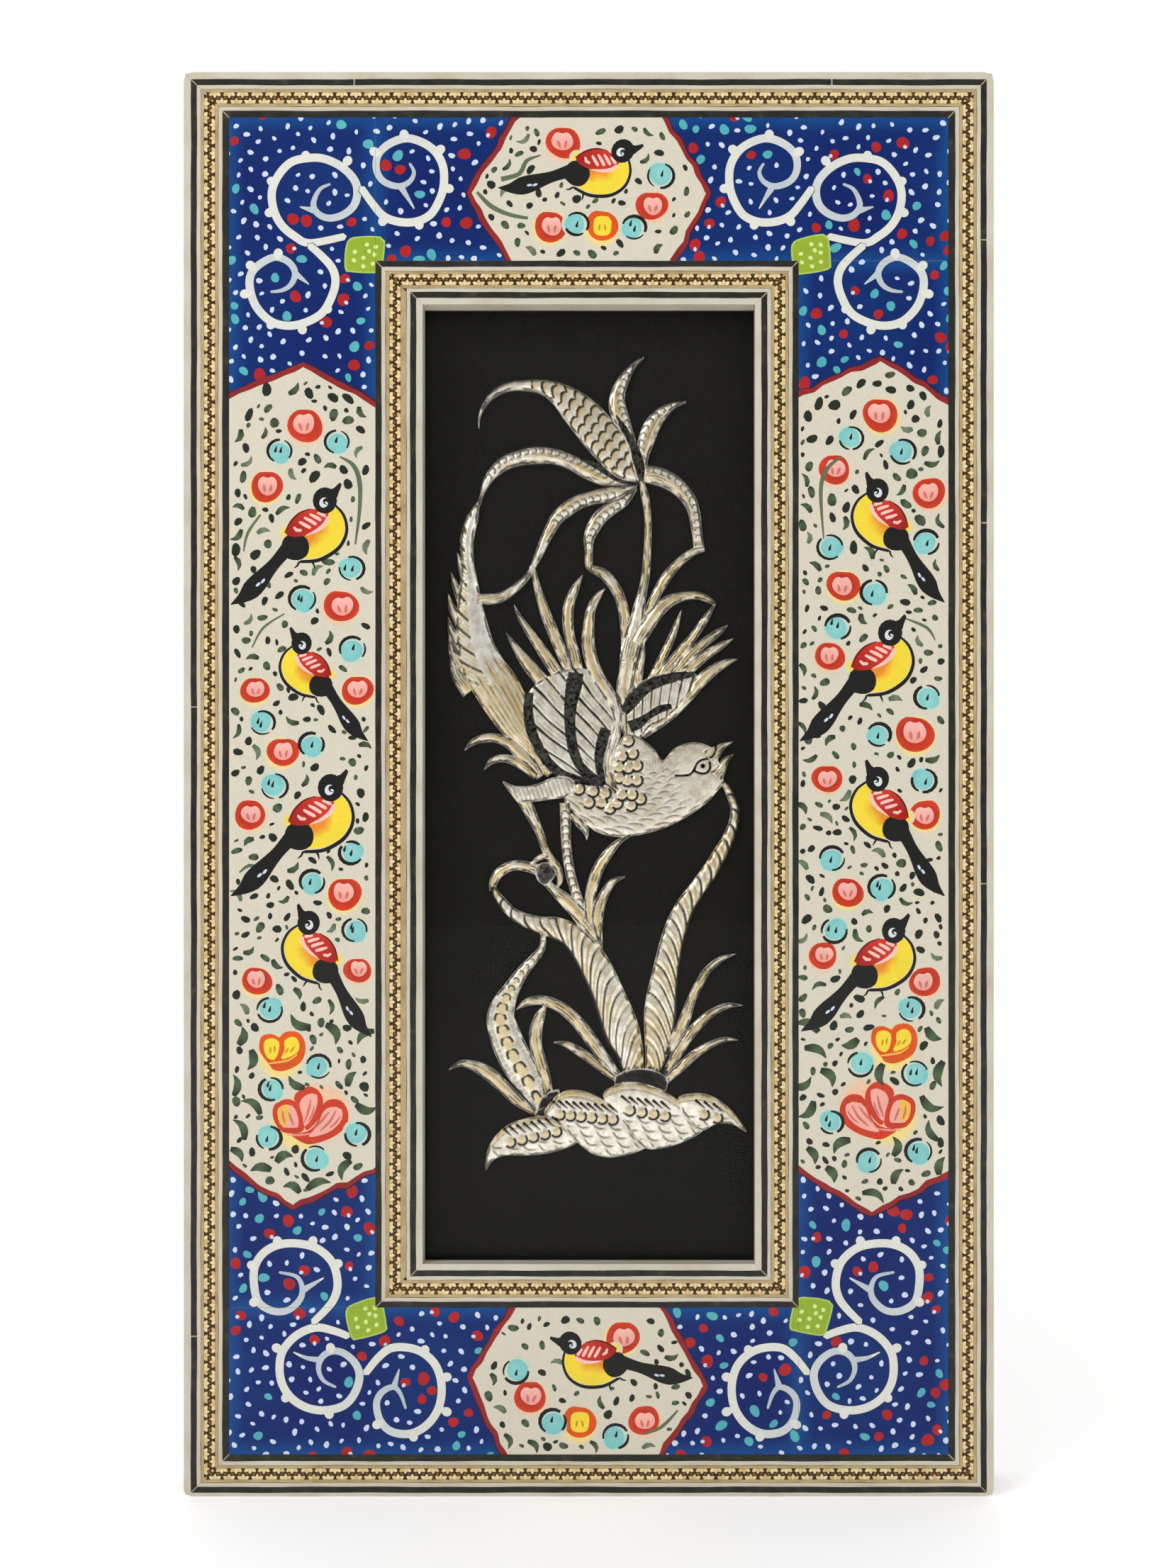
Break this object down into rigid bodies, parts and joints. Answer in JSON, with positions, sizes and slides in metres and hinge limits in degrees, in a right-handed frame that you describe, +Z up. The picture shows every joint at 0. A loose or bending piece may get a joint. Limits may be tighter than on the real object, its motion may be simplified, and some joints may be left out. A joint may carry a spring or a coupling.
{
  "type": "mosaic panel",
  "caption": "Inlaid wall frame of star-mosaic borders and painted flower-and-bird sheets round a glazed window with a chased metal bird on black velvet.",
  "frame": {"origin": "on the flat back of the top rail, midway across, where the panel lies against the wall", "axes": "+Z up, +X to the viewer's right, +Y into the wall; the front faces -Y"},
  "size_m": [0.229, 0.018, 0.4026],
  "materials": {
    "painted_ivory": "ivory-coloured sheet, hand-painted with birds and flowers, under clear gloss lacquer",
    "white_bone": "white bone strip, lacquered",
    "black_wood": "black wood strip, lacquered",
    "khatam_mosaic": "star mosaic of pale, gold and dark slivers with tan wood lips, lacquered",
    "frame_wood": "dark stained wood, satin",
    "clear_glass": "clear picture glass",
    "black_velvet": "black velvet on board",
    "chased_silver": "silver-coloured sheet metal, chased and oxidised in the grooves",
    "hanger_steel": "plain plated steel"
  },
  "bodies": {
    "root": {"outer_edge_strip_left": "white_bone", "outer_edge_strip_right": "white_bone", "outer_edge_strip_bottom": "white_bone", "outer_edge_strip_top": "white_bone", "outer_black_strip_left": "black_wood", "outer_black_strip_right": "black_wood", "outer_black_strip_bottom": "black_wood", "outer_black_strip_top": "black_wood", "outer_white_strip_left": "white_bone", "outer_white_strip_right": "white_bone", "outer_white_strip_bottom": "white_bone", "outer_white_strip_top": "white_bone", "outer_khatam_strip_left": "khatam_mosaic", "outer_khatam_strip_right": "khatam_mosaic", "outer_khatam_strip_bottom": "khatam_mosaic", "outer_khatam_strip_top": "khatam_mosaic", "panel_white_strip_left": "white_bone", "panel_white_strip_right": "white_bone", "panel_white_strip_bottom": "white_bone", "panel_white_strip_top": "white_bone", "panel_black_strip_left": "black_wood", "panel_black_strip_right": "black_wood", "panel_black_strip_bottom": "black_wood", "panel_black_strip_top": "black_wood", "window_lip_left": "white_bone", "window_lip_right": "white_bone", "window_lip_bottom": "white_bone", "window_lip_top": "white_bone", "window_black_strip_left": "black_wood", "window_black_strip_right": "black_wood", "window_black_strip_bottom": "black_wood", "window_black_strip_top": "black_wood", "window_white_strip_left": "white_bone", "window_white_strip_right": "white_bone", "window_white_strip_bottom": "white_bone", "window_white_strip_top": "white_bone", "inner_khatam_strip_left": "khatam_mosaic", "inner_khatam_strip_right": "khatam_mosaic", "inner_khatam_strip_bottom": "khatam_mosaic", "inner_khatam_strip_top": "khatam_mosaic", "sheet_white_strip_left": "white_bone", "sheet_white_strip_right": "white_bone", "sheet_white_strip_bottom": "white_bone", "sheet_white_strip_top": "white_bone", "sheet_black_strip_left": "black_wood", "sheet_black_strip_right": "black_wood", "sheet_black_strip_bottom": "black_wood", "sheet_black_strip_top": "black_wood", "painted_sheet_left": "painted_ivory", "painted_sheet_right": "painted_ivory", "painted_sheet_bottom": "painted_ivory", "painted_sheet_top": "painted_ivory", "frame_rail_left": "frame_wood", "frame_rail_right": "frame_wood", "frame_rail_bottom": "frame_wood", "frame_rail_top": "frame_wood", "window_glass": "clear_glass", "velvet_board": "black_velvet", "chased_bird_relief": "chased_silver", "sawtooth_hanger": "hanger_steel"}
  },
  "joints": []
}
